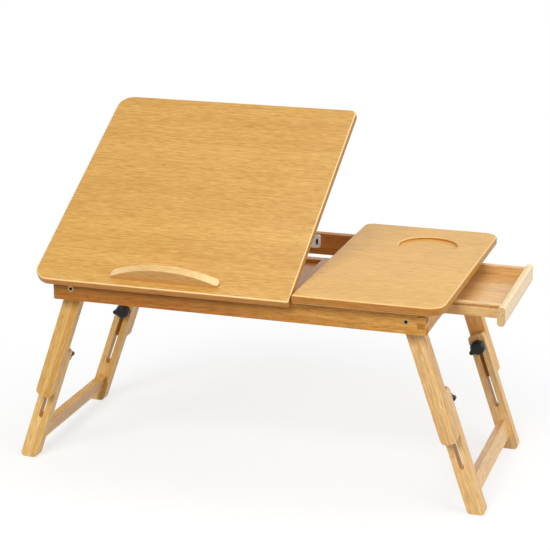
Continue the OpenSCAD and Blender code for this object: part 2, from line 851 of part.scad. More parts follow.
// The pivot bolt: a brass head let into the rail and a shank through the spacer and the upper leg
module pivot_bolt(s) {
    head_y = out_y + bolt_sunk;
    nut_end = upper_y + leg_t + leg_gap + nut_h;
    difference() {
        union() {
            y_rod(s * pivot_x, head_y, pivot_z, bolt_head_r, bolt_head_h - bolt_sunk);
            y_rod(s * pivot_x, head_y, pivot_z, pivot_d / 2, nut_end - head_y);
        }
        translate([s * pivot_x, head_y - over, pivot_z]) rotate([-90, 0, 0])
            cylinder(r = hex_r, h = bolt_head_h - bolt_sunk + over, $fn = 6);
    }
}

module pivot_bolts() {
    color(brass) table() front_and_back() for (s = [-1, 1]) pivot_bolt(s);
}

module pivot_nuts() {
    color(brass) table() front_and_back() for (s = [-1, 1]) difference() {
        translate([s * pivot_x, upper_y + leg_t + leg_gap, pivot_z]) rotate([-90, 0, 0])
            cylinder(r = nut_r, h = nut_h, $fn = 6);
        y_rod(s * pivot_x, upper_y + leg_t, pivot_z, pivot_d / 2, nut_h + 2 * over);
    }
}

module leg_spacers() {
    color(bamboo_deep) table() front_and_back() for (s = [-1, 1]) difference() {
        y_rod(s * pivot_x, in_y, pivot_z, spacer_r, spacer_t);
        y_rod(s * pivot_x, in_y - over, pivot_z, pivot_d / 2 + pin_clear, spacer_t + 2 * over);
    }
}

module left_front_upper_leg() { color(bamboo) table() upper_leg(); }
module left_rear_upper_leg() { color(bamboo) table() at_back() upper_leg(); }
module right_front_upper_leg() { color(bamboo) table() at_right() upper_leg(); }
module right_rear_upper_leg() { color(bamboo) table() at_right() at_back() upper_leg(); }
module left_front_lower_leg() { color(bamboo) table() lower_leg(); }
module left_rear_lower_leg() { color(bamboo) table() at_back() lower_leg(); }
module right_front_lower_leg() { color(bamboo) table() at_right() lower_leg(); }
module right_rear_lower_leg() { color(bamboo) table() at_right() at_back() lower_leg(); }
module left_crossbar() { color(bamboo) table() crossbar(); }
module right_crossbar() { color(bamboo) table() at_right() crossbar(); }
module left_clamp_bolts() { color(steel) table() front_and_back() clamp_bolt(); }
module right_clamp_bolts() { color(steel) table() at_right() front_and_back() clamp_bolt(); }
module left_clamp_washers() { color(steel) table() front_and_back() clamp_washer(); }
module right_clamp_washers() { color(steel) table() at_right() front_and_back() clamp_washer(); }
module left_front_knob() { color(black) table() knob(327); }
module left_rear_knob() { color(black) table() at_back() knob(154); }
module right_front_knob() { color(black) table() at_right() knob(162); }
module right_rear_knob() { color(black) table() at_right() at_back() knob(26); }

front_rail();
back_rail();
left_end_rail();
right_end_rail();
front_cross_rail();
rear_cross_rail();
deck_board_left();
deck_board_right();
seam_slat();
prop_rack_left();
prop_rack_right();
side_panel();
drawer_runner_front();
drawer_runner_rear();
hinge_rail_leaves();
hinge_pins();
catch_body();
catch_plates();
leg_spacers();
pivot_bolts();
pivot_nuts();
tilt_panel();
laptop_ledge();
hinge_panel_leaves();
prop_clips();
strike_plate();
prop_wire();
drawer_front();
drawer_side_front();
drawer_side_rear();
drawer_back();
drawer_bottom();
left_front_upper_leg();
left_rear_upper_leg();
right_front_upper_leg();
right_rear_upper_leg();
left_clamp_bolts();
right_clamp_bolts();
left_clamp_washers();
right_clamp_washers();
left_front_lower_leg();
left_rear_lower_leg();
right_front_lower_leg();
right_rear_lower_leg();
left_crossbar();
right_crossbar();
left_front_knob();
left_rear_knob();
right_front_knob();
right_rear_knob();
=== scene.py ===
"""Looks for the folding laptop table: bamboo, metal and plastic, eased edges, screws, light and camera.

Lengths are in metres, in the frame's own axes: +X towards the drawer, +Y from front to back, +Z up.
"""

import json
import math

import bmesh
import bpy
from mathutils import Matrix, Vector


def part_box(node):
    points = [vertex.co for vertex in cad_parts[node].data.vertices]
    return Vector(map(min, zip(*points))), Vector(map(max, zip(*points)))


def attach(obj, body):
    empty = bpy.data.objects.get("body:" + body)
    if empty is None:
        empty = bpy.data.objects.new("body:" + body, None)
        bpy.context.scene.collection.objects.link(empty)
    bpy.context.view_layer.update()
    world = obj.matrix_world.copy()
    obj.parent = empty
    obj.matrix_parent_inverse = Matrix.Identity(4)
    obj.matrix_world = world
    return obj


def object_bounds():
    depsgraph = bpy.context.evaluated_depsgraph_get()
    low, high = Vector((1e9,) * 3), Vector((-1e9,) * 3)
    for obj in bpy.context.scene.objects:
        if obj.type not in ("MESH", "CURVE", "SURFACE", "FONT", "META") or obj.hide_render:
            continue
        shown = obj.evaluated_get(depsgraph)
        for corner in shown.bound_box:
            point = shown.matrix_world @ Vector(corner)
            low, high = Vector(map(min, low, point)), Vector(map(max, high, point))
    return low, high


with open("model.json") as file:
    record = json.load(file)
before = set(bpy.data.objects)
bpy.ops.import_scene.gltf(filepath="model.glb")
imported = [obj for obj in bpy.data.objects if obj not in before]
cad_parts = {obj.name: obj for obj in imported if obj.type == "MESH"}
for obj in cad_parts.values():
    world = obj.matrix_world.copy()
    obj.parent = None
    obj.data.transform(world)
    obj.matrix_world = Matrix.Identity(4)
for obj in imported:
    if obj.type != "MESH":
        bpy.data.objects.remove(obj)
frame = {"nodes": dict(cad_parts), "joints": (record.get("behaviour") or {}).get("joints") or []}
cad_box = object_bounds()
nodes = frame["nodes"]
motion = {joint["name"]: joint for joint in frame["joints"]}

# the slope of the tilting top as packed, and how far a leg leans from the vertical
TILT = -math.radians(motion["top_tilt"]["range_deg"][0])
LEG_AXIS = Vector(motion["left_leg_slide"]["axis"])
SPLAY = math.atan2(LEG_AXIS.x, LEG_AXIS.z)

# ------------------------------------------------------------------ camera

# The photograph is 550 pixels square. The camera was fitted to the corners of the boards, rails and feet,
# and its place is given from the side panel's high corner.
IMAGE_SIDE = 550
FOCAL_PIXELS = 1731.6
SENSOR_MM = 36
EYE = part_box("side_panel")[1] + Vector((0.4606, -2.5458, 0.7034))
GAZE = Vector((-0.29462, 0.91131, -0.28759))


def add_camera():
    camera = bpy.data.objects.new("camera", bpy.data.cameras.new("camera"))
    bpy.context.scene.collection.objects.link(camera)
    camera.location = EYE
    camera.rotation_euler = GAZE.to_track_quat("-Z", "Y").to_euler()
    camera.data.sensor_width = SENSOR_MM
    camera.data.lens = FOCAL_PIXELS / IMAGE_SIDE * SENSOR_MM
    bpy.context.scene.camera = camera


# ------------------------------------------------------------------ material tools


class Tree:
    """A small helper for wiring one node tree."""

    def __init__(self, tree):
        self.tree = tree

    def node(self, kind, inputs=None, **settings):
        made = self.tree.nodes.new(kind)
        for key, value in settings.items():
            setattr(made, key, value)
        for key, value in (inputs or {}).items():
            self.feed(made.inputs[key], value)
        return made

    def feed(self, socket, value):
        if isinstance(value, bpy.types.NodeSocket):
            self.tree.links.new(value, socket)
        else:
            socket.default_value = value

    def math(self, operation, *values, clamp=False):
        made = self.node("ShaderNodeMath", operation=operation, use_clamp=clamp)
        for socket, value in zip(made.inputs, values):
            self.feed(socket, value)
        return made.outputs[0]

    def remap(self, value, low, high, to_low=0.0, to_high=1.0, smooth=False):
        made = self.node("ShaderNodeMapRange", {
            "Value": value, "From Min": low, "From Max": high, "To Min": to_low, "To Max": to_high},
            interpolation_type="SMOOTHSTEP" if smooth else "LINEAR")
        return made.outputs["Result"]

    def mix(self, factor, first, second, blend="MIX"):
        made = self.node("ShaderNodeMix", data_type="RGBA", blend_type=blend)
        for socket, value in ((made.inputs[0], factor), (made.inputs[6], first), (made.inputs[7], second)):
            self.feed(socket, value)
        return made.outputs[2]

    def seen(self):
        """1 for the rays that show the background: the camera's, and those from metal and glass."""
        paths = self.node("ShaderNodeLightPath").outputs
        mirrored = self.math("MAXIMUM", paths["Is Glossy Ray"], paths["Is Transmission Ray"])
        return self.math("MAXIMUM", paths["Is Camera Ray"], mirrored)


class Shader(Tree):
    """The same for one material and its Principled shader."""

    def __init__(self, material):
        self.material = material
        self.material.use_nodes = True
        super().__init__(self.material.node_tree)
        self.principled = self.tree.nodes["Principled BSDF"]

    @classmethod
    def new(cls, name):
        return cls(bpy.data.materials.new(name))

    def coordinates(self, kind="Object"):
        return self.node("ShaderNodeTexCoord").outputs[kind]

    def turned(self, vector, turn, kind="POINT"):
        made = self.node("ShaderNodeMapping", {"Vector": vector, "Rotation": turn}, vector_type=kind)
        return made.outputs["Vector"]

    def split(self, vector):
        return self.node("ShaderNodeSeparateXYZ", {"Vector": vector}).outputs

    def pattern(self, vector, along, across, offset=(0, 0, 0), detail=2.0, roughness=0.55, distortion=0.0):
        """Noise with its cycles per metre along X and across it."""
        stretched = self.node("ShaderNodeMapping", {
            "Vector": vector, "Scale": (along, across, across), "Location": offset}).outputs["Vector"]
        made = self.node("ShaderNodeTexNoise", {
            "Vector": stretched, "Scale": 1.0, "Detail": detail, "Roughness": roughness,
            "Distortion": distortion})
        return made.outputs["Fac"]

    def tint(self, mask, colour, shares):
        """The colour, with its channels multiplied by their shares where the mask is 1."""
        return self.mix(mask, colour, self.mix(1.0, colour, (*shares, 1), "MULTIPLY"))

    def bump(self, height, strength, distance):
        made = self.node("ShaderNodeBump", {"Height": height, "Strength": strength, "Distance": distance})
        return made.outputs["Normal"]

    def set(self, **values):
        for key, value in values.items():
            self.feed(self.principled.inputs[key.replace("_", " ")], value)


def linear(red, green, blue):
    """A colour given in display values from 0 to 255, as a linear RGBA colour."""
    def one(value):
        value /= 255
        return value / 12.92 if value <= 0.04045 else ((value + 0.055) / 1.055) ** 2.4

    return one(red), one(green), one(blue), 1.0


def toned(colour, shares):
    """A colour with its channels multiplied by their shares."""
    return [value * share for value, share in zip(colour, shares)] + [1]


# ------------------------------------------------------------------ bamboo

# the nodes of a culm: the length between two, and their rings' waver and thickness as shares of it
NODE_PITCH = 0.27
RING_WAVER = 0.03
RING_CORE = 0.002
RING_EDGE = 0.013

# how much each pattern counts in the wood's tone, and how far their sum strays from its middle
DASH_SHARE = 0.44
FIBRE_SHARE = 0.18
STREAK_SHARE = 0.26
CLOUD_SHARE = 0.10
SPREAD = 0.092

# The normal's share along the grain tells end grain, its share upwards tells a long edge and the rounded
# corner above it, and its share backwards tells the front. Each pair is what that comes or goes between.
END_ON = (0.72, 0.90)
EDGE_ON = (0.35, 0.80)
# the rounded corner found by this pair carries a painted highlight
CORNER_LOW = (0.42, 0.60)
CORNER_HIGH = (0.92, 0.985)
# the face found by this pair carries a painted shade where one is asked for
FRONT_ON = (-0.8, -0.5)

# shares of the dark tone
FLECK_TONE = (0.70, 0.70, 0.70)
KNOT_TONE = (0.60, 0.50, 0.42)
END_DARK = (0.52, 0.45, 0.40)
END_LIGHT = (0.86, 0.86, 0.86)

# how strong the flecks show, half the width of the line between two strips, the bundles per metre on end
# grain, and the shift from the strips' tones to their second values
FLECKS = 0.45
SEAM_WIDTH = 0.0004
BUNDLES = 620.0
PHASE_SHIFT = 71.3

# the wood's own roughness, what the dashes and the end grain add to it, and the lacquer
WOOD_ROUGHNESS = 0.32
DASH_ROUGHNESS = 0.16
END_ROUGHNESS = 0.20
WOOD_IOR = 1.46
COAT_ROUGHNESS = 0.14


def strip_value(s, number, shift=0.0):
    """A value from 0 to 1 of each strip's own, the same in each run."""
    shifted = s.math("ADD", number, shift)
    return s.node("ShaderNodeTexWhiteNoise", {"W": shifted}, noise_dimensions="1D").outputs["Value"]


def culm_rings(s, grain, along, number):
    """1 on the thin rings that a culm's nodes leave across a strip, broken into patches."""
    phase = strip_value(s, number, PHASE_SHIFT)
    place = s.math("FRACT", s.math("ADD", s.math("DIVIDE", along, NODE_PITCH), phase))
    waver = s.math("MULTIPLY", s.pattern(grain, 30, 90), RING_WAVER)
    away = s.math("ABSOLUTE", s.math("SUBTRACT", s.math("ADD", place, waver), 0.5 + RING_WAVER / 2))
    ring = s.remap(away, RING_CORE, RING_EDGE, 1.0, 0.0, smooth=True)
    patches = s.remap(s.pattern(grain, 25, 240), 0.46, 0.66)
    return s.math("MULTIPLY", ring, patches)


def wood_tone(s, grain, dashes, tone, strips, contrast):
    """From 0, light, to 1, dark: short dashes, fine fibres, long soft streaks, slow clouds and each strip's
    own tone."""
    fibres = s.pattern(grain, 14, 900, detail=3.0, roughness=0.6)
    streaks = s.pattern(grain, 22, 330, (3, 1, 2), detail=3.0, roughness=0.6, distortion=0.3)
    clouds = s.pattern(grain, 4, 14, (1, 7, 5), roughness=0.5)
    shares = ((dashes, DASH_SHARE), (fibres, FIBRE_SHARE), (streaks, STREAK_SHARE), (clouds, CLOUD_SHARE),
              (tone, strips))
    total = 0.0
    for value, share in shares:
        total = s.math("ADD", total, s.math("MULTIPLY", value, share))
    middle_tone = sum(share for _, share in shares) / 2
    return s.remap(total, middle_tone - SPREAD / contrast, middle_tone + SPREAD / contrast)


def end_grain_colour(s, grain, dark):
    """Dark wood, dotted with the bundles' cut ends."""
    dots = s.node("ShaderNodeTexVoronoi", {"Vector": grain, "Scale": BUNDLES}, feature="F1")
    dotted = s.remap(dots.outputs["Distance"], 0.18, 0.42)
    return s.mix(dotted, toned(dark, END_DARK), toned(dark, END_LIGHT))


def bamboo(name, light, dark, turn=(0, 0, 0), strip_axis=1, strip=0.0215, strips=0.12, contrast=1.0,
           seams=0.15, knots=0.25, edges=None, front=None, front_fade=None, paler=0.0, coat=0.18, shine=0.5):
    """Laminated bamboo, from its light and its dark tone.

    turn is the rotation that brings the piece's grain to X. Strips lie side by side along strip_axis (1 is Y,
    2 is Z, both after the turn), each strip wide. strips is how much they differ in tone, contrast how strong
    the grain is, seams how dark the lines between the strips are, and knots how strong the culm's nodes show.
    edges is the tone of a board's long edges, front a painted shade on the face that looks to the front, and
    front_fade the two places along the grain between which that painted shade fades away. paler is how strong
    the painted highlight on the rounded corner above an edge is. coat and shine are the weights of the
    lacquer and of the wood's own reflection."""
    s = Shader.new(name)
    grain = s.turned(s.coordinates(), turn)
    axes = s.split(grain)
    faced = s.split(s.turned(s.coordinates("Normal"), turn, "VECTOR"))
    level = s.math("ABSOLUTE", faced[2])
    edge_on = s.remap(level, *EDGE_ON, 1.0, 0.0)
    corner = s.math("MULTIPLY", s.remap(level, *CORNER_HIGH, 1.0, 0.0), s.remap(level, *CORNER_LOW))
    end_grain = s.remap(s.math("ABSOLUTE", faced[0]), *END_ON)

    place = s.math("DIVIDE", axes[strip_axis], strip)
    number = s.math("FLOOR", place)
    rings = culm_rings(s, grain, axes[0], number)
    off_middle = s.math("ABSOLUTE", s.math("SUBTRACT", s.math("FRACT", place), 0.5))
    seam = s.remap(s.math("MULTIPLY", off_middle, strip), strip / 2 - SEAM_WIDTH, strip / 2)

    dashes = s.pattern(grain, 58, 560, (9, 4, 1), roughness=0.6)
    flecks = s.remap(s.pattern(grain, 44, 380, (2, 8, 3), roughness=0.5), 0.62, 0.74)
    colour = s.mix(wood_tone(s, grain, dashes, strip_value(s, number), strips, contrast), light, dark)
    colour = s.mix(s.math("MULTIPLY", flecks, FLECKS * contrast), colour, toned(dark, FLECK_TONE))
    colour = s.mix(s.math("MULTIPLY", rings, knots), colour, toned(dark, KNOT_TONE))
    colour = s.mix(s.math("MULTIPLY", seam, seams), colour, toned(dark, KNOT_TONE))
    if edges:
        colour = s.tint(edge_on, colour, edges)
    # painted shade on the face that looks to the front, faded along the grain where a fade is given
    if front:
        painted_front_shade = s.remap(faced[1], *FRONT_ON, 1.0, 0.0)
        if front_fade:
            painted_front_shade = s.math("MULTIPLY", painted_front_shade, s.remap(axes[0], *front_fade, 1.0, 0.0, smooth=True))
        colour = s.tint(painted_front_shade, colour, front)
    # painted highlight: the rounded corner above an edge turns paler
    if paler:
        colour = s.mix(s.math("MULTIPLY", corner, paler), colour, PAINTED_HIGHLIGHT)
    colour = s.mix(end_grain, colour, end_grain_colour(s, grain, dark))

    roughness = s.math("ADD", s.math("MULTIPLY", dashes, DASH_ROUGHNESS), WOOD_ROUGHNESS)
    roughness = s.math("ADD", roughness, s.math("MULTIPLY", end_grain, END_ROUGHNESS))
    # the seams are hairlines in the lacquer, and the culm's nodes stand a little proud
    height = s.math("SUBTRACT", s.math("MULTIPLY", dashes, 0.6), s.math("MULTIPLY", seam, 0.4))
    height = s.math("ADD", height, s.math("MULTIPLY", rings, 0.4))
    s.set(Base_Color=colour, Roughness=roughness, Normal=s.bump(height, 0.22, 0.0004),
          Coat_Weight=coat, Coat_Roughness=COAT_ROUGHNESS, IOR=WOOD_IOR, Specular_IOR_Level=shine)
    return s.material


# ------------------------------------------------------------------ which wood is where

# the light and the dark tone of each kind of piece
HONEY = (linear(221, 173, 96), linear(194, 141, 63))
SIDE = (linear(236, 187, 98), linear(210, 154, 64))
RAIL = (linear(230, 174, 94), linear(194, 132, 58))
DECK = (linear(230, 172, 100), linear(200, 138, 70))
DEEP = (linear(208, 150, 78), linear(170, 112, 48))
# The leg tones below are painted light and shade on one wood: lighter lower legs, more yellow left legs and a
# warmer rear upper leg.
LEFT_UPPER = (linear(250, 203, 124), linear(220, 166, 86))
LEFT_LOWER = (linear(255, 216, 142), linear(232, 180, 102))
RIGHT_UPPER = (linear(248, 210, 148), linear(218, 168, 106))
RIGHT_LOWER = (linear(255, 220, 158), linear(230, 180, 116))
REAR_UPPER = (linear(255, 206, 124), linear(238, 172, 94))
PALE = (linear(250, 225, 177), linear(232, 195, 138))
LEDGE = (linear(234, 196, 130), linear(210, 167, 101))
RACK = (linear(228, 182, 112), linear(200, 148, 78))
BOX = (linear(240, 204, 150), linear(216, 170, 112))
BOX_FLOOR = (linear(234, 188, 122), linear(206, 154, 88))
# the pale tone of the painted highlight on the boards' rounded corners
PAINTED_HIGHLIGHT = linear(255, 226, 168)

ALONG_Y = (0, 0, -math.pi / 2)
TILTED = (-TILT, 0, 0)
LEFT_LEG = (0, math.pi / 2 - SPLAY, 0)
RIGHT_LEG = (0, math.pi / 2 + SPLAY, 0)


def by_node(*dressed):
    """A table from each node to its material, from pairs of a material and the nodes that have it."""
    return {node: material for material, names in dressed for node in names}


def top_wood():
    look = {"strips": 0.04, "coat": 0.2, "shine": 0.22}
    # the rounded corners of these boards get a painted highlight of the strength given here
    tilted = bamboo("bamboo_tilted_top", *HONEY, turn=TILTED, edges=(0.92, 0.68, 0.44), paler=0.7, **look)
    fixed = bamboo("bamboo_side_top", *SIDE, edges=(0.62, 0.45, 0.36), paler=0.4, **look)
    ledge = bamboo("bamboo_ledge", *LEDGE, turn=TILTED, strips=0.0, edges=(0.98, 0.82, 0.66), paler=0.5,
                   shine=0.3)
    return by_node((tilted, ["tilt_panel"]), (fixed, ["side_panel"]), (ledge, ["laptop_ledge"]))


def frame_wood():
    look = {"strip_axis": 2, "strip": 0.0085, "strips": 0.14, "knots": 0.6, "coat": 0.04, "shine": 0.15}
    # painted shade on the front rail's front face, full under the tilted top and fading out towards the
    # drawer end
    front = bamboo("bamboo_front_rail", *RAIL, front=(0.68, 0.52, 0.42), front_fade=(-0.12, 0.26), **look)
    # painted shade on the back rail's inner face, the one that looks to the front
    back = bamboo("bamboo_back_rail", *RAIL, front=(0.72, 0.50, 0.24), **look)
    ends = bamboo("bamboo_end_rail", *RAIL, turn=ALONG_Y, **look)
    inner_long = bamboo("bamboo_inner_long", *DECK)
    inner_cross = bamboo("bamboo_inner_cross", *DECK, turn=ALONG_Y)
    rack = bamboo("bamboo_rack", *RACK, turn=ALONG_Y, strip=0.02)
    runner = bamboo("bamboo_runner", *DEEP)
    return by_node(
        (front, ["front_rail"]), (back, ["back_rail"]), (ends, ["left_end_rail", "right_end_rail"]),
        (inner_long, ["front_cross_rail", "rear_cross_rail", "deck_board_left", "deck_board_right"]),
        (inner_cross, ["seam_slat", "leg_spacers"]), (rack, ["prop_rack_left", "prop_rack_right"]),
        (runner, ["drawer_runner_front", "drawer_runner_rear"]))


def drawer_wood():
    look = {"strip_axis": 2, "strip": 0.014, "edges": (0.87, 0.79, 0.64), "coat": 0.1, "shine": 0.3}
    front = bamboo("bamboo_drawer_front", *PALE, turn=ALONG_Y, strip_axis=2, strip=0.014, contrast=0.8)
    sides = bamboo("bamboo_drawer_sides", *BOX, **look)
    back = bamboo("bamboo_drawer_back", *BOX, turn=ALONG_Y, **look)
    bottom = bamboo("bamboo_drawer_bottom", *BOX_FLOOR)
    return by_node((front, ["drawer_front"]), (sides, ["drawer_side_front", "drawer_side_rear"]),
                   (back, ["drawer_back"]), (bottom, ["drawer_bottom"]))


def leg_wood():
    """The legs are one wood whose tones differ as painted light and shade: the lower legs are lighter than
    the upper ones, those on the left more yellow, and the right rear upper leg, which stands in the top's
    shade, has a warmer and more saturated tone than the right front one. The front and back faces of the left
    upper legs get a little painted shade."""
    look = {"strip_axis": 2, "strip": 0.0075, "strips": 0.2, "seams": 0.3, "knots": 0.45, "coat": 0.08,
            "shine": 0.2}
    bar_look = {"turn": ALONG_Y, "strip_axis": 2, "strip": 0.0125, "strips": 0.2, "seams": 0.3, "knots": 0.4}
    left = {"turn": LEFT_LEG, **look}
    right = {"turn": RIGHT_LEG, **look}
    # painted shade: the front and back faces of the left upper legs are darkened a little
    left_upper = bamboo("bamboo_left_upper_leg", *LEFT_UPPER, edges=(0.90, 0.89, 0.88), **left)
    left_lower = bamboo("bamboo_left_lower_leg", *LEFT_LOWER, **left)
    right_front = bamboo("bamboo_right_front_upper_leg", *RIGHT_UPPER, **right)
    # painted light: the rear upper leg, in the top's shade, takes a warmer and more saturated copy of the
    # wood
    right_rear = bamboo("bamboo_right_rear_upper_leg", *REAR_UPPER, **right)
    right_lower = bamboo("bamboo_right_lower_leg", *RIGHT_LOWER, **right)
    left_bar = bamboo("bamboo_left_bar", *LEFT_UPPER, **bar_look)
    right_bar = bamboo("bamboo_right_bar", *RIGHT_LOWER, **bar_look)
    return by_node(
        (left_upper, ["left_front_upper_leg", "left_rear_upper_leg"]),
        (left_lower, ["left_front_lower_leg", "left_rear_lower_leg"]),
        (right_front, ["right_front_upper_leg"]), (right_rear, ["right_rear_upper_leg"]),
        (right_lower, ["right_front_lower_leg", "right_rear_lower_leg"]),
        (left_bar, ["left_crossbar"]), (right_bar, ["right_crossbar"]))


def wood_materials():
    """The material of each wooden node, by its tone and the direction of its grain."""
    return {**top_wood(), **frame_wood(), **drawer_wood(), **leg_wood()}


# ------------------------------------------------------------------ metal and plastic

# the share of a metal's colour where it is dull, and how strongly the dull patches show
DULL = (0.72, 0.72, 0.72)
TARNISH = 0.36
# the painted shade in the bolts' recesses, and the depths between which it sets in
RECESS_PAINTED_SHADE = (0.02, 0.012, 0.004, 1)
RECESS_DEPTH = (0.0006, 0.0014)


def metal(name, colour, roughness, scratches=0.10):
    """Plated metal with a fine uneven polish and slow patches of duller tone."""
    s = Shader.new(name)
    place = s.coordinates()
    patches = s.pattern(place, 140, 140, detail=4.0, roughness=0.6)
    hair = s.pattern(place, 300, 2600, roughness=0.6)
    tone = s.mix(s.math("MULTIPLY", patches, TARNISH, clamp=True), colour, toned(colour, DULL))
    rough = s.math("ADD", s.math("MULTIPLY", patches, 0.18), roughness - 0.08)
    rough = s.math("ADD", rough, s.math("MULTIPLY", hair, 0.06))
    s.set(Base_Color=tone, Metallic=1.0, Roughness=rough, Normal=s.bump(hair, scratches, 0.0002))
    return s.material


def bolt_brass():
    """Brass for the pivot bolts: their hex recesses, behind the heads' outer faces, get a painted shade."""
    s = Shader(metal("bolt_brass", (0.46, 0.34, 0.15, 1), 0.26))
    low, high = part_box("pivot_bolts")
    across = s.split(s.coordinates())[1]
    inside = s.math("MINIMUM", s.math("SUBTRACT", across, low.y), s.math("SUBTRACT", high.y, across))
    tone = s.principled.inputs["Base Color"].links[0].from_socket
    s.set(Base_Color=s.mix(s.remap(inside, *RECESS_DEPTH), tone, RECESS_PAINTED_SHADE))
    return s.material


def plastic(name, colour, roughness, grain=0.3, shine=0.5):
    """Moulded plastic with a fine spark-eroded grain and faint smears in its gloss."""
    s = Shader.new(name)
    place = s.coordinates()
    fine = s.pattern(place, 1500, 1500, roughness=0.5)
    smear = s.pattern(place, 60, 60, detail=3.0, roughness=0.6)
    paler = [min(1, value * 1.25 + 0.006) for value in colour[:3]] + [1]
    tone = s.mix(s.remap(smear, 0.45, 0.75), colour, paler)
    rough = s.math("ADD", s.math("MULTIPLY", smear, 0.16), roughness - 0.08)
    s.set(Base_Color=tone, Roughness=rough, Normal=s.bump(fine, grain, 0.0003), Specular_IOR_Level=shine)
    return s.material


def hard_materials():
    """The material of each metal or plastic node."""
    brass = metal("brass", (0.72, 0.58, 0.32, 1), 0.28)
    steel = metal("zinc_plated_steel", (0.62, 0.63, 0.64, 1), 0.30)
    wire = metal("bright_wire", (0.66, 0.67, 0.68, 1), 0.22, scratches=0.05)
    black = plastic("black_plastic", (0.006, 0.006, 0.006, 1), 0.34, shine=0.3)
    white = plastic("white_plastic", (0.80, 0.79, 0.76, 1), 0.38, grain=0.12)
    knobs = [f"{side}_{end}_knob" for side in ("left", "right") for end in ("front", "rear")]
    clamps = [f"{side}_clamp_{part}" for side in ("left", "right") for part in ("bolts", "washers")]
    return by_node(
        (brass, ["hinge_rail_leaves", "hinge_panel_leaves", "pivot_nuts"]), (bolt_brass(), ["pivot_bolts"]),
        (steel, ["hinge_pins", "catch_plates", "strike_plate", *clamps]), (wire, ["prop_wire"]),
        (white, ["catch_body", "prop_clips"]), (black, knobs))


# ------------------------------------------------------------------ finish of the frame's own nodes

# the eased radius of each node that differs from its kind
EASED = {
    "tilt_panel": 0.0004, "side_panel": 0.0004, "prop_wire": 0, "hinge_pins": 0.0002,
    "drawer_front": 0.0004, "laptop_ledge": 0.0016,
    "hinge_rail_leaves": 0.0002, "hinge_panel_leaves": 0.0002, "catch_plates": 0.0001, "strike_plate": 0.0001,
    "catch_body": 0.0004, "prop_clips": 0.0003, "pivot_bolts": 0.0003, "pivot_nuts": 0.0003,
    "seam_slat": 0.0004, "deck_board_left": 0.0004, "deck_board_right": 0.0004,
}
LEG_EASE = 0.0012
WOOD_EASE = 0.0007
METAL_EASE = 0.0003
SHARP_ANGLE = math.radians(40)
EASED_ANGLE = math.radians(38)
SCREW_SHARP_ANGLE = math.radians(35)
WELD_DISTANCE = 0.00001


def sharp_edge_group():
    """Geometry nodes that mark every edge above an angle as sharp, so that flat faces stay flat in
    shading."""
    tree = bpy.data.node_groups.new("sharp edges", "GeometryNodeTree")
    for way in ("INPUT", "OUTPUT"):
        tree.interface.new_socket("Geometry", in_out=way, socket_type="NodeSocketGeometry")
    begin = tree.nodes.new("NodeGroupInput")
    end = tree.nodes.new("NodeGroupOutput")
    angle = tree.nodes.new("GeometryNodeInputMeshEdgeAngle")
    compare = tree.nodes.new("FunctionNodeCompare")
    compare.data_type = "FLOAT"
    compare.operation = "GREATER_THAN"
    compare.inputs[1].default_value = SHARP_ANGLE
    shade = tree.nodes.new("GeometryNodeSetShadeSmooth")
    shade.domain = "EDGE"
    shade.inputs["Shade Smooth"].default_value = False
    tree.links.new(angle.outputs[0], compare.inputs[0])
    tree.links.new(compare.outputs[0], shade.inputs["Selection"])
    tree.links.new(begin.outputs[0], shade.inputs["Geometry"])
    tree.links.new(shade.outputs[0], end.inputs[0])
    return tree


def ease_width(name, is_wood):
    """The radius to which a node's edges are eased."""
    if name in EASED:
        return EASED[name]
    if "_leg" in name or "crossbar" in name:
        return LEG_EASE
    return WOOD_EASE if is_wood else METAL_EASE


def ease_edges(body, width, sharp_edges):
    """Rounds a node's sharp edges a little, as sanding and moulding do, and shades its curves smooth."""
    given = body.data.attributes.get("custom_normal")
    if given:
        body.data.attributes.remove(given)
    body.data.shade_smooth()
    weld = body.modifiers.new("weld", "WELD")
    weld.merge_threshold = WELD_DISTANCE
    if width > 0:
        bevel = body.modifiers.new("eased edges", "BEVEL")
        bevel.width = width
        bevel.segments = 2
        bevel.limit_method = "ANGLE"
        bevel.angle_limit = EASED_ANGLE
        bevel.use_clamp_overlap = True
        bevel.harden_normals = False
    marked = body.modifiers.new("sharp edges", "NODES")
    marked.node_group = sharp_edges
    weighted = body.modifiers.new("flat faces", "WEIGHTED_NORMAL")
    weighted.mode = "FACE_AREA"
    weighted.keep_sharp = True


def dress_nodes(wood, hard):
    sharp_edges = sharp_edge_group()
    for name, body in nodes.items():
        body.data.materials.clear()
        body.data.materials.append(wood.get(name) or hard[name])
        ease_edges(body, ease_width(name, name in wood), sharp_edges)


# ------------------------------------------------------------------ screws

SCREW_SIDES = 32
# the crown of a head from near its middle to its rim, as shares of its radius and of its height
CROWN = ((0.45, 0.96), (0.80, 0.78), (0.97, 0.42), (1.0, 0.0))
# an arm of the cross recess, as shares of the head's radius, and its bottom as shares of its top
ARM_LENGTH = 0.58
ARM_WIDTH = 0.13
BOTTOM_LENGTH = 0.35
BOTTOM_WIDTH = 0.7
CUT_ABOVE = 1.3

# half a hinge leaf's length, and its two screws: their places to each side of the hinge's middle, from the
# rail leaf's rear edge and from the hinge line, and the height of the panel leaf's face over that line
HALF_LEAF = 0.019
RAIL_SCREW_SIDE = 0.0125
TOP_SCREW_SIDE = 0.0070
RAIL_SCREW_INSET = 0.0055
TOP_SCREW_OUT = 0.0095
PANEL_LEAF_FACE = 0.00025
# the catch's ears: their screws to each side of its middle, and their face behind its front
EAR_SIDE = 0.0106
EAR_FACE = 0.0032
# the prop's clips: their middles from the outer ends, their place up the board, their screws to each side of
# that, and their face under the hinge line
CLIP_INSET = 0.0045
CLIP_OUT = 0.28
CLIP_SCREW_SIDE = 0.0060
CLIP_FACE = -0.00175


def as_mesh(shape, name):
    """Turns a bmesh into a mesh and frees it."""
    mesh = bpy.data.meshes.new(name)
    shape.to_mesh(mesh)
    shape.free()
    return mesh


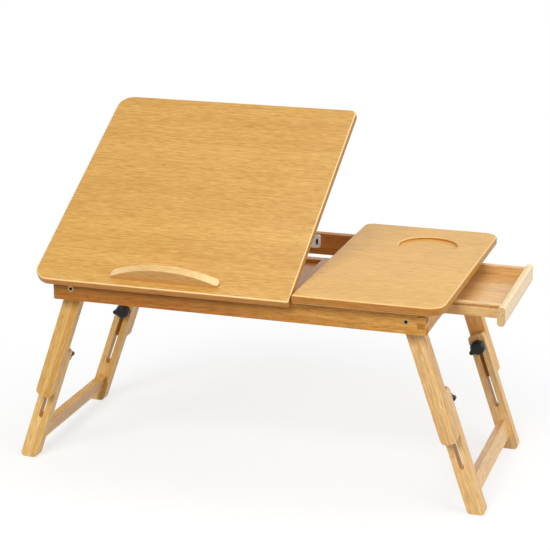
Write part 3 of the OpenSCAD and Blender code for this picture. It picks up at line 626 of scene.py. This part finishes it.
def head_mesh(radius, height):
    """The plain head of a screw: a crowned disc that reaches as far below its seat as above it."""
    shape = bmesh.new()

    def ring(across, level):
        return [shape.verts.new((across * math.cos(2 * math.pi * i / SCREW_SIDES),
                                 across * math.sin(2 * math.pi * i / SCREW_SIDES), level))
                for i in range(SCREW_SIDES)]

    centre = shape.verts.new((0, 0, height))
    rings = [ring(radius * share, height * level) for share, level in CROWN] + [ring(radius, -height)]
    for i in range(SCREW_SIDES):
        j = (i + 1) % SCREW_SIDES
        shape.faces.new((centre, rings[0][i], rings[0][j]))
        for inner, outer in zip(rings, rings[1:]):
            shape.faces.new((inner[i], outer[i], outer[j], inner[j]))
    shape.faces.new(list(reversed(rings[-1])))
    return as_mesh(shape, "head")


def recess_mesh(radius, height, depth):
    """Two crossed tapered blades that cut the recess."""
    def corners(length, width):
        return ((-length, -width), (length, -width), (length, width), (-length, width))

    shape = bmesh.new()
    length = radius * ARM_LENGTH
    width = radius * ARM_WIDTH
    for turn in (0, math.pi / 2):
        spin = Matrix.Rotation(turn, 4, "Z")
        upper = [shape.verts.new(spin @ Vector((x, y, height * CUT_ABOVE)))
                 for x, y in corners(length, width)]
        lower = [shape.verts.new(spin @ Vector((x, y, height - depth)))
                 for x, y in corners(length * BOTTOM_LENGTH, width * BOTTOM_WIDTH)]
        shape.faces.new(upper)
        shape.faces.new(list(reversed(lower)))
        for i in range(4):
            j = (i + 1) % 4
            shape.faces.new((upper[i], lower[i], lower[j], upper[j]))
    bmesh.ops.recalc_face_normals(shape, faces=shape.faces)
    return as_mesh(shape, "recess")


def screw_mesh(name, radius, height, depth, material):
    """A screw's head with its cross recess, looking along Z."""
    work = bpy.data.objects.new("screw_work", head_mesh(radius, height))
    cutter = bpy.data.objects.new("screw_cutter", recess_mesh(radius, height, depth))
    for helper in (work, cutter):
        bpy.context.scene.collection.objects.link(helper)
    boolean = work.modifiers.new("recess", "BOOLEAN")
    boolean.object = cutter
    boolean.operation = "DIFFERENCE"
    boolean.solver = "EXACT"
    boolean.use_self = True
    bpy.context.view_layer.update()
    result = bpy.data.meshes.new_from_object(work.evaluated_get(bpy.context.evaluated_depsgraph_get()))
    result.name = name
    for helper in (work, cutter):
        spent = helper.data
        bpy.data.objects.remove(helper)
        bpy.data.meshes.remove(spent)
    result.shade_smooth()
    result.set_sharp_from_angle(angle=SCREW_SHARP_ANGLE)
    result.materials.append(material)
    return result


def place_screw(name, mesh, place, direction, body, spin):
    """One screw whose head looks along direction from place."""
    screw = bpy.data.objects.new(name, mesh)
    bpy.context.scene.collection.objects.link(screw)
    turn = Vector(direction).to_track_quat("Z", "Y").to_matrix().to_4x4()
    screw.matrix_world = Matrix.Translation(place) @ turn @ Matrix.Rotation(spin, 4, "Z")
    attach(screw, body)


def tilt_place(x, out, up):
    """A point given along the tilted board from the hinge line, and up from it."""
    low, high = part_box("hinge_pins")
    pin = (low + high) / 2
    return Vector((x, pin.y + out * math.cos(TILT) - up * math.sin(TILT),
                   pin.z + out * math.sin(TILT) + up * math.cos(TILT)))


TILT_DOWN = Vector((0, math.sin(TILT), -math.cos(TILT)))


def add_hinge_screws(mesh):
    """Two screws in each leaf. Those of a hinge's two leaves are staggered, so that their heads clear each
    other when the top is closed."""
    low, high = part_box("hinge_rail_leaves")
    rail_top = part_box("front_rail")[1].z
    for number, x in enumerate((low.x + HALF_LEAF, high.x - HALF_LEAF)):
        for step, side in enumerate((-1, 1)):
            on_rail = Vector((x + side * RAIL_SCREW_SIDE, high.y - RAIL_SCREW_INSET, rail_top))
            under_top = tilt_place(x + side * TOP_SCREW_SIDE, TOP_SCREW_OUT, PANEL_LEAF_FACE)
            place_screw(f"hinge_screw_rail_{number}_{step}", mesh, on_rail, (0, 0, 1), "frame",
                        0.3 + step)
            place_screw(f"hinge_screw_top_{number}_{step}", mesh, under_top, TILT_DOWN, "tilt_top",
                        0.9 + step)


def add_catch_screws(mesh):
    low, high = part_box("catch_body")
    centre = (low + high) / 2
    for number, side in enumerate((-1, 1)):
        place = Vector((centre.x + side * EAR_SIDE, low.y + EAR_FACE, centre.z))
        place_screw(f"catch_screw_{number}", mesh, place, (0, -1, 0), "frame", 0.5 + number)


def add_clip_screws(mesh):
    """Two screws in each clip of the prop. They are steel with a yellow plating, so they look like brass."""
    low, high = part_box("prop_clips")
    for number, x in enumerate((low.x + CLIP_INSET, high.x - CLIP_INSET)):
        for step, side in enumerate((-1, 1)):
            place_screw(f"clip_screw_{number}_{step}", mesh,
                        tilt_place(x, CLIP_OUT + side * CLIP_SCREW_SIDE, CLIP_FACE), TILT_DOWN, "tilt_top",
                        0.2 + number + step)


def add_screws(brass):
    black_oxide = plastic("black_oxide", (0.02, 0.02, 0.022, 1), 0.36, grain=0.08)
    countersunk = screw_mesh("screw_small", 0.0019, 0.0004, 0.0012, brass)
    pan_head = screw_mesh("screw_black", 0.00195, 0.0008, 0.0012, black_oxide)
    add_hinge_screws(countersunk)
    add_catch_screws(pan_head)
    add_clip_screws(countersunk)


# ------------------------------------------------------------------ floor, light and world

FLOOR_SIDE = 14
FLOOR_CELLS = 8
FLOOR_GAP = 0.0002
# the distances from the table's middle between which the floor turns from keeping the shadow to plain white
FLOOR_FADE = (0.32, 0.74)
OWN_LIGHT = 0.69
SHADE_KEPT = 0.355
BOUNCE = (0.56, 0.56, 0.56, 1)
WORLD_LIGHT = 0.22
WHITE = (1, 1, 1, 1)

# each lamp's name, place, width and height, and power in watts
LAMPS = (
    ("overhead", (0.2, 0.2, 2.6), (1.8, 1.4), 14),
    ("key", (-0.35, -2.3, 2.0), (1.6, 1.2), 51),
    ("right", (2.3, -0.7, 1.4), (2.4, 1.9), 30),
    ("back", (1.5, 2.0, 1.6), (2.4, 1.6), 11),
)
LAMP_TARGET = Vector((0, 0, 0.25))


def floor_material():
    """A white floor that keeps the table's shadow. Camera and mirror rays also get some of its own light,
    which rises to plain white away from the table, so that the open floor comes out white."""
    s = Shader.new("white_floor")
    seen = s.seen()
    distance = s.node("ShaderNodeVectorMath", {0: s.coordinates()}, operation="LENGTH").outputs["Value"]
    away = s.remap(distance, *FLOOR_FADE, smooth=True)
    own_light = s.remap(away, 0.0, 1.0, OWN_LIGHT, 1.0)
    kept = s.remap(away, 0.0, 1.0, SHADE_KEPT, 0.0)
    s.set(Base_Color=s.mix(seen, BOUNCE, kept), Roughness=0.9, Specular_IOR_Level=0.0)
    glow = s.node("ShaderNodeEmission", {"Color": WHITE, "Strength": s.math("MULTIPLY", seen, own_light)})
    total = s.node("ShaderNodeAddShader", {0: s.principled.outputs[0], 1: glow.outputs[0]})
    s.feed(s.tree.nodes["Material Output"].inputs["Surface"], total.outputs[0])
    return s.material


def add_floor():
    shape = bmesh.new()
    bmesh.ops.create_grid(shape, x_segments=FLOOR_CELLS, y_segments=FLOOR_CELLS, size=FLOOR_SIDE / 2)
    floor = bpy.data.objects.new("floor", as_mesh(shape, "floor"))
    bpy.context.scene.collection.objects.link(floor)
    floor.location.z = cad_box[0][2] - FLOOR_GAP
    floor.data.materials.append(floor_material())


def add_world():
    """White where it is seen or mirrored, and a soft light of its own for the rest."""
    world = bpy.data.worlds.new("studio")
    bpy.context.scene.world = world
    world.use_nodes = True
    t = Tree(world.node_tree)
    background = t.tree.nodes["Background"]
    t.feed(background.inputs["Color"], WHITE)
    t.feed(background.inputs["Strength"], t.remap(t.seen(), 0.0, 1.0, WORLD_LIGHT, 1.0))


def add_lamps():
    for name, place, size, power in LAMPS:
        lamp = bpy.data.objects.new(name, bpy.data.lights.new(name, "AREA"))
        bpy.context.scene.collection.objects.link(lamp)
        lamp.data.shape = "RECTANGLE"
        lamp.data.size, lamp.data.size_y = size
        lamp.data.energy = power
        lamp.location = place
        lamp.rotation_euler = (LAMP_TARGET - Vector(place)).to_track_quat("-Z", "Y").to_euler()


# ------------------------------------------------------------------ make everything


add_camera()
wood_used = wood_materials()
hard_used = hard_materials()
dress_nodes(wood_used, hard_used)
add_screws(hard_used["hinge_rail_leaves"])
add_floor()
add_world()
add_lamps()
bpy.context.scene.view_settings.view_transform = "Standard"
